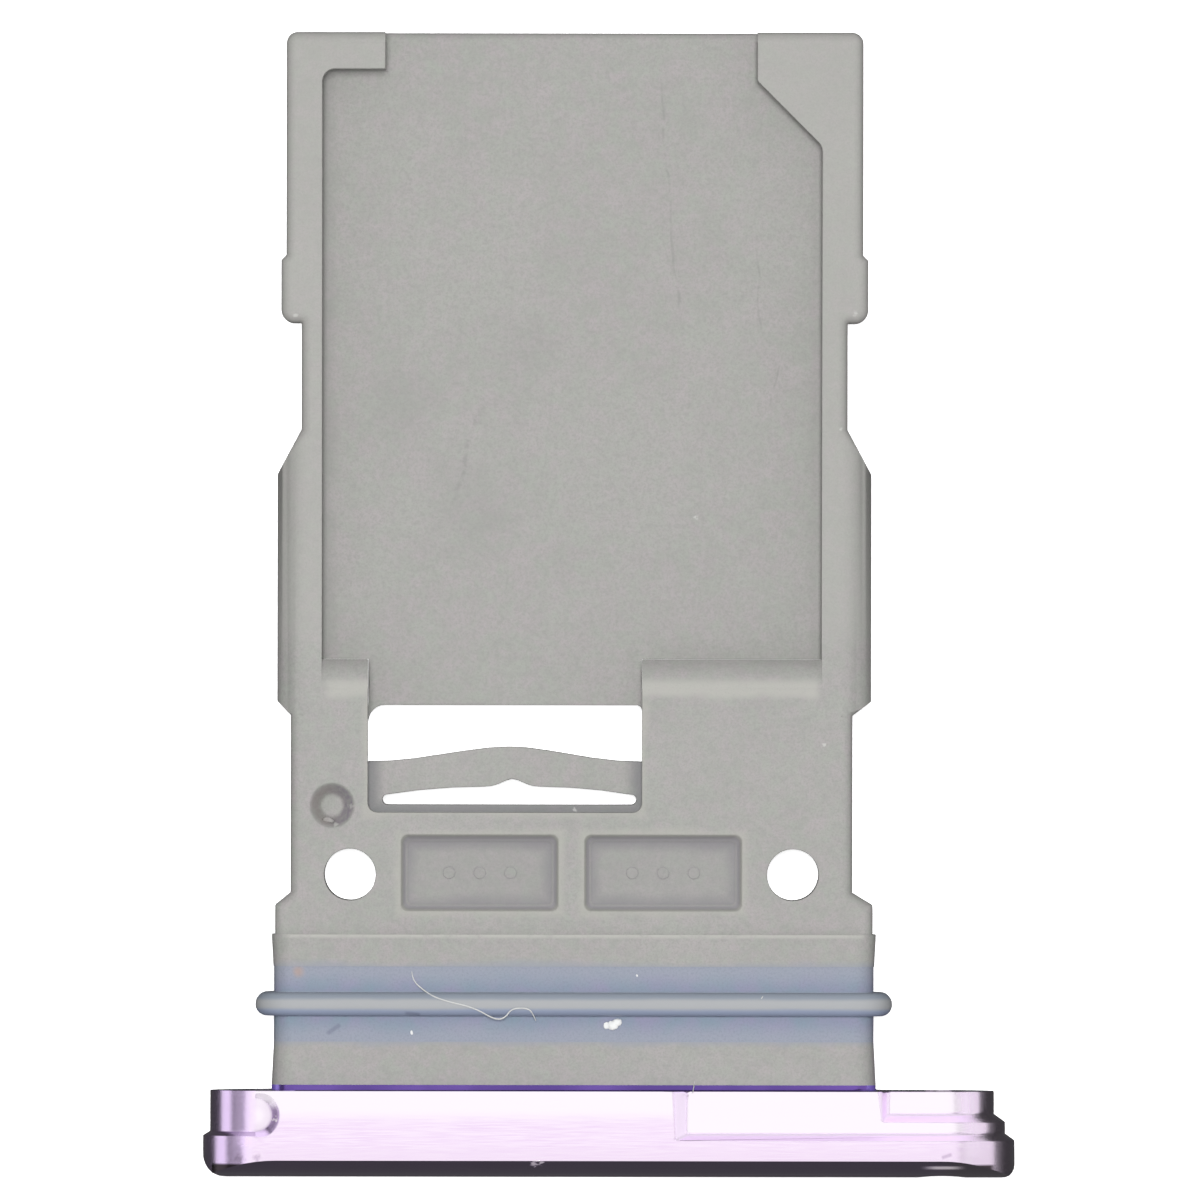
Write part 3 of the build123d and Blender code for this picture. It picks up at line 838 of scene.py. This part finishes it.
def relief_foot(start, end):
    """The feet of the walls of the reliefs at the head's right end."""
    return head_edge(start, end) and abs(start.z - HEAD_TOP / 2) > 0.5


carrier_finish = carrier_plastic()

carrier = copy_of("tray_carrier", "carrier_shell")
round_edges(carrier, True, MOULDED_EDGE_ROUND, carrier_edge)
round_edges(carrier, False, DIMPLE_FOOT_ROUND, dimple_foot)
round_edges(carrier, False, POCKET_FOOT_ROUND, pocket_foot)
smooth_shading(carrier)
hand_in(carrier, carrier_finish, "tray_carrier")

seal = copy_of("seal_gasket", "seal_ring")
smooth_shading(seal)
hand_in(seal, seal_rubber(), "seal_gasket")

head = copy_of("head_bar", "head_block")
round_edges(head, True, RELIEF_START_ROUND, relief_start)
round_edges(head, True, MILLED_EDGE_ROUND, head_edge)
round_edges(head, False, RELIEF_FOOT_ROUND, relief_foot)
press_down(head, HEAD_TOP)
smooth_shading(head)
hand_in(head, head_metal(), "head_bar")


# Plain pips on the floors of the pockets

PIP_RADIUS = 0.11
PIP_RIM = 0.018
PIP_PITCH = 0.55
PIP_BASE = POCKET_FLOOR - 0.02
PIP_TOP = POCKET_FLOOR + 0.025


def rounded_stud(radius, base, top, place, rim):
    """A short round stud with a rounded rim, standing between two levels."""
    bpy.ops.object.select_all(action="DESELECT")
    middle = Vector((place[0], place[1], (base + top) / 2)) * MM
    bpy.ops.mesh.primitive_cylinder_add(
        vertices=32, radius=radius * MM, depth=(top - base) * MM, location=middle
    )
    stud = bpy.context.active_object
    open_with(stud, "FACE", lambda face: face.normal.z > 0.9)
    bpy.ops.mesh.region_to_loop()
    bpy.ops.mesh.bevel(offset=rim * MM, segments=3, affect="EDGES")
    bpy.ops.object.mode_set(mode="OBJECT")
    settle(stud)
    bpy.ops.object.shade_smooth_by_angle(angle=math.radians(50.0))
    return stud


pocket_pips = []
for middle_x, middle_y in POCKET_MIDDLES:
    for step in (-1, 0, 1):
        place = (middle_x + step * PIP_PITCH, middle_y)
        pocket_pips.append(rounded_stud(PIP_RADIUS, PIP_BASE, PIP_TOP, place, PIP_RIM))
hand_in(join_as("pocket_pips", pocket_pips), carrier_finish)


# Gate nub, lint and dust

# Routes of the fibres: column and row of the photograph's pixel, and height
LONG_FIBRE = [
    (412, 971, BAND_TOP + 0.010),
    (413, 980, BAND_TOP + 0.015),
    (423, 989, BAND_TOP + 0.10),
    (434, 996, BEAD_TOP - 0.02),
    (449, 1001, BEAD_TOP + 0.010),
    (467, 1005, BEAD_TOP + 0.010),
    (480, 1010, BEAD_TOP + 0.015),
    (490, 1016, BEAD_TOP - 0.02),
    (499, 1019, BEAD_TOP - 0.06),
    (506, 1016, BEAD_TOP - 0.02),
    (511, 1009, BEAD_TOP + 0.015),
    (519, 1007, BEAD_TOP + 0.015),
    (529, 1008, BEAD_TOP + 0.015),
    (533, 1013, BEAD_TOP - 0.02),
    (536, 1020, BEAD_TOP - 0.14),
]
SHORT_FIBRE = [(761, 998, BEAD_TOP - 0.03), (763, 995, BEAD_TOP - 0.06), (766, 993, BAND_TOP + 0.14)]
HEAD_HAIR = [(694.5, 1081, PLUG_TOP), (693.5, 1087, PLUG_TOP + 0.10), (692.5, 1092, HEAD_TOP - 0.012)]

# Flakes: column, row, height, sizes, turn in the plan, and seed of their unevenness
GATE_NUB = (329.0, 820.0, 1.97, (0.24, 0.12, 0.12), -0.2, 4)
DUST_FLAKES = [
    (607.0, 1025.0, BAND_TOP + 0.010, (0.13, 0.14, 0.06), 0.4, 3),
    (612.5, 1025.0, BAND_TOP + 0.025, (0.20, 0.17, 0.08), -0.3, 8),
    (616.5, 1022.0, BAND_TOP + 0.025, (0.19, 0.15, 0.08), 0.5, 13),
    (412.0, 1032.0, BAND_TOP + 0.008, (0.05, 0.08, 0.03), 0.3, 5),
    (804.0, 1006.0, BEAD_TOP - 0.020, (0.07, 0.04, 0.03), 0.2, 11),
    (637.0, 975.0, BAND_TOP + 0.006, (0.035, 0.05, 0.02), 0.5, 17),
]


def fibre(route, radius):
    """A fine fibre along a route of pixels and heights, thinner at its ends."""
    line = bpy.data.curves.new("fibre", "CURVE")
    line.dimensions = "3D"
    line.bevel_depth = radius * MM
    line.bevel_resolution = 2
    line.use_fill_caps = True
    line.resolution_u = 6
    spline = line.splines.new("NURBS")
    spline.points.add(len(route) - 1)
    for point, (column, row, height) in zip(spline.points, route):
        x, y = at_pixel(column, row)
        point.co = (x * MM, y * MM, height * MM, 1.0)
    spline.points[0].radius = 0.5
    spline.points[-1].radius = 0.5
    spline.use_endpoint_u = True
    spline.order_u = 3
    strand = bpy.data.objects.new("fibre", line)
    bpy.context.scene.collection.objects.link(strand)
    take_up(strand)
    bpy.ops.object.convert(target="MESH")
    bpy.ops.object.shade_smooth()
    return bpy.context.active_object


def flake(column, row, height, sizes, turn, seed):
    """An uneven flat flake, turned in the plan."""
    x, y = at_pixel(column, row)
    bpy.ops.object.select_all(action="DESELECT")
    bpy.ops.mesh.primitive_ico_sphere_add(subdivisions=3, radius=0.5 * MM)
    speck = bpy.context.active_object
    bpy.ops.object.mode_set(mode="EDIT")
    bpy.ops.mesh.select_all(action="SELECT")
    bpy.ops.transform.vertex_random(offset=0.16 * MM, uniform=0.2, normal=0.6, seed=seed)
    bpy.ops.mesh.vertices_smooth(factor=0.5, repeat=2)
    bpy.ops.object.mode_set(mode="OBJECT")
    speck.scale = sizes
    speck.rotation_euler = (0.0, 0.0, turn)
    speck.location = Vector((x, y, height)) * MM
    settle(speck)
    bpy.ops.object.shade_smooth()
    return speck


gate_nub = flake(*GATE_NUB)
gate_nub.name = "gate_nub"
hand_in(gate_nub, carrier_finish)

fibres = [fibre(LONG_FIBRE, 0.013), fibre(SHORT_FIBRE, 0.015), fibre(HEAD_HAIR, 0.012)]
fibre_finish = pale_lint("fibre_pale", colour(0.38, 0.39, 0.40), colour(0.58, 0.58, 0.56))
hand_in(join_as("lint_fibres", fibres), fibre_finish)

flakes = [flake(*facts) for facts in DUST_FLAKES]
dust_finish = pale_lint("dust_white", colour(0.52, 0.53, 0.54), colour(0.72, 0.72, 0.70))
hand_in(join_as("dust_flakes", flakes), dust_finish)


# Studio: floor, surround, camera, lights

# Lights: name, place, aim, width, height and radiance
MATT_LIGHT = ("front_light", (-8.0, 30.0, 400.0), (0.0, 0.0, 0.0), 80.0, 80.0, 93.0)
GLOSS_PANELS = [
    ("overhead_panel", (-42.0, 0.0, 100.0), (-42.0, 0.0, 0.0), 205.0, 260.0, 1.85),
    ("right_panel", (130.0, 0.0, 105.0), (0.0, 0.0, 105.0), 260.0, 215.0, 1.45),
    ("left_high_panel", (-150.0, 0.0, 72.0), (0.0, 0.0, 72.0), 260.0, 65.0, 0.35),
    ("left_low_panel", (-150.0, 0.0, -19.5), (0.0, 0.0, -19.5), 260.0, 69.0, 1.45),
    ("rear_panel", (0.0, 150.0, -20.0), (0.0, 0.0, -20.0), 260.0, 120.0, 1.30),
]

# Surround: the height of a direction, from straight down to straight up, and its radiance
SURROUND_STEPS = [(-1.00, 0.08), (-0.45, 0.08), (-0.25, 0.25), (0.00, 0.42), (0.30, 0.40), (1.00, 0.35)]


def soft_box(name, place, aim, width, height, radiance, on_matt):
    """A soft light from a place towards an aim, that shines on matt surfaces only or on gloss only."""
    data = bpy.data.lights.new(name, "AREA")
    data.shape = "RECTANGLE"
    data.size = width * MM
    data.size_y = height * MM
    data.energy = radiance * math.pi * data.size * data.size_y
    light = bpy.data.objects.new(name, data)
    light.location = Vector(place) * MM
    light.rotation_euler = (Vector(aim) - Vector(place)).to_track_quat("-Z", "Y").to_euler()
    light.visible_camera = False
    light.visible_diffuse = on_matt
    light.visible_glossy = not on_matt
    bpy.context.scene.collection.objects.link(light)


def studio_floor():
    """A round white board whose rim turns up into a wall, so that no view meets an edge."""
    flat_radius, rise, steps = 400.0, 500.0, 10
    bpy.ops.object.select_all(action="DESELECT")
    bpy.ops.mesh.primitive_circle_add(
        vertices=96, radius=flat_radius * MM, fill_type="NGON", location=(0, 0, -0.01 * MM)
    )
    floor = bpy.context.active_object
    floor.name = "studio_floor"
    bpy.ops.object.mode_set(mode="EDIT")
    bpy.ops.mesh.select_all(action="SELECT")
    bpy.ops.mesh.region_to_loop()
    radius, height = flat_radius, 0.0
    for step in range(1, steps + 1):
        angle = math.radians(90.0 * step / steps)
        next_radius = flat_radius + rise * math.sin(angle)
        next_height = rise * (1.0 - math.cos(angle))
        bpy.ops.mesh.extrude_edges_move(
            TRANSFORM_OT_translate={"value": (0, 0, (next_height - height) * MM)}
        )
        bpy.ops.transform.resize(value=(next_radius / radius, next_radius / radius, 1.0))
        radius, height = next_radius, next_height
    bpy.ops.object.mode_set(mode="OBJECT")
    settle(floor)
    bpy.ops.object.shade_smooth()
    floor.data.materials.append(floor_board())
    floor.visible_diffuse = False
    floor.visible_glossy = False
    floor.visible_shadow = False


def studio_surround():
    """Dim walls all round, and dark below."""
    world = bpy.data.worlds.new("studio_surround")
    bpy.context.scene.world = world
    world.use_nodes = True
    nodes, links = world.node_tree.nodes, world.node_tree.links
    coordinates = nodes.new("ShaderNodeTexCoord")
    split = nodes.new("ShaderNodeSeparateXYZ")
    span = nodes.new("ShaderNodeMapRange")
    span.inputs["From Min"].default_value = -1.0
    span.inputs["From Max"].default_value = 1.0
    shades = nodes.new("ShaderNodeValToRGB")
    while len(shades.color_ramp.elements) < len(SURROUND_STEPS):
        shades.color_ramp.elements.new(0.5)
    for element, (height, radiance) in zip(shades.color_ramp.elements, SURROUND_STEPS):
        element.position = (height + 1.0) / 2.0
        element.color = colour(radiance, radiance, radiance)
    links.new(coordinates.outputs["Generated"], split.inputs["Vector"])
    links.new(split.outputs["Z"], span.inputs["Value"])
    links.new(span.outputs["Result"], shades.inputs["Fac"])
    links.new(shades.outputs["Color"], nodes["Background"].inputs["Color"])
    nodes["Background"].inputs["Strength"].default_value = 1.0


def photo_camera():
    """A camera straight above, far enough back that the photograph's flat view is kept."""
    height, sensor, aim_level = 500.0, 36.0, 1.5
    data = bpy.data.cameras.new("photo_camera")
    data.sensor_width = sensor
    data.lens = sensor * height * PIXELS_PER_MM / PHOTO_SIDE
    data.clip_start = 1.0 * MM
    data.clip_end = 5000.0 * MM
    camera = bpy.data.objects.new("photo_camera", data)
    aim_x, aim_y = at_pixel(PHOTO_SIDE / 2, PHOTO_SIDE / 2)
    camera.location = Vector((aim_x, aim_y, aim_level + height)) * MM
    camera.rotation_euler = (0.0, 0.0, -PHOTO_TURN)
    bpy.context.scene.collection.objects.link(camera)
    bpy.context.scene.camera = camera


studio_floor()
studio_surround()
photo_camera()
soft_box(*MATT_LIGHT, on_matt=True)
for panel in GLOSS_PANELS:
    soft_box(*panel, on_matt=False)

view = bpy.context.scene.view_settings
view.view_transform = "Standard"
view.look = "None"
view.exposure = 0.0
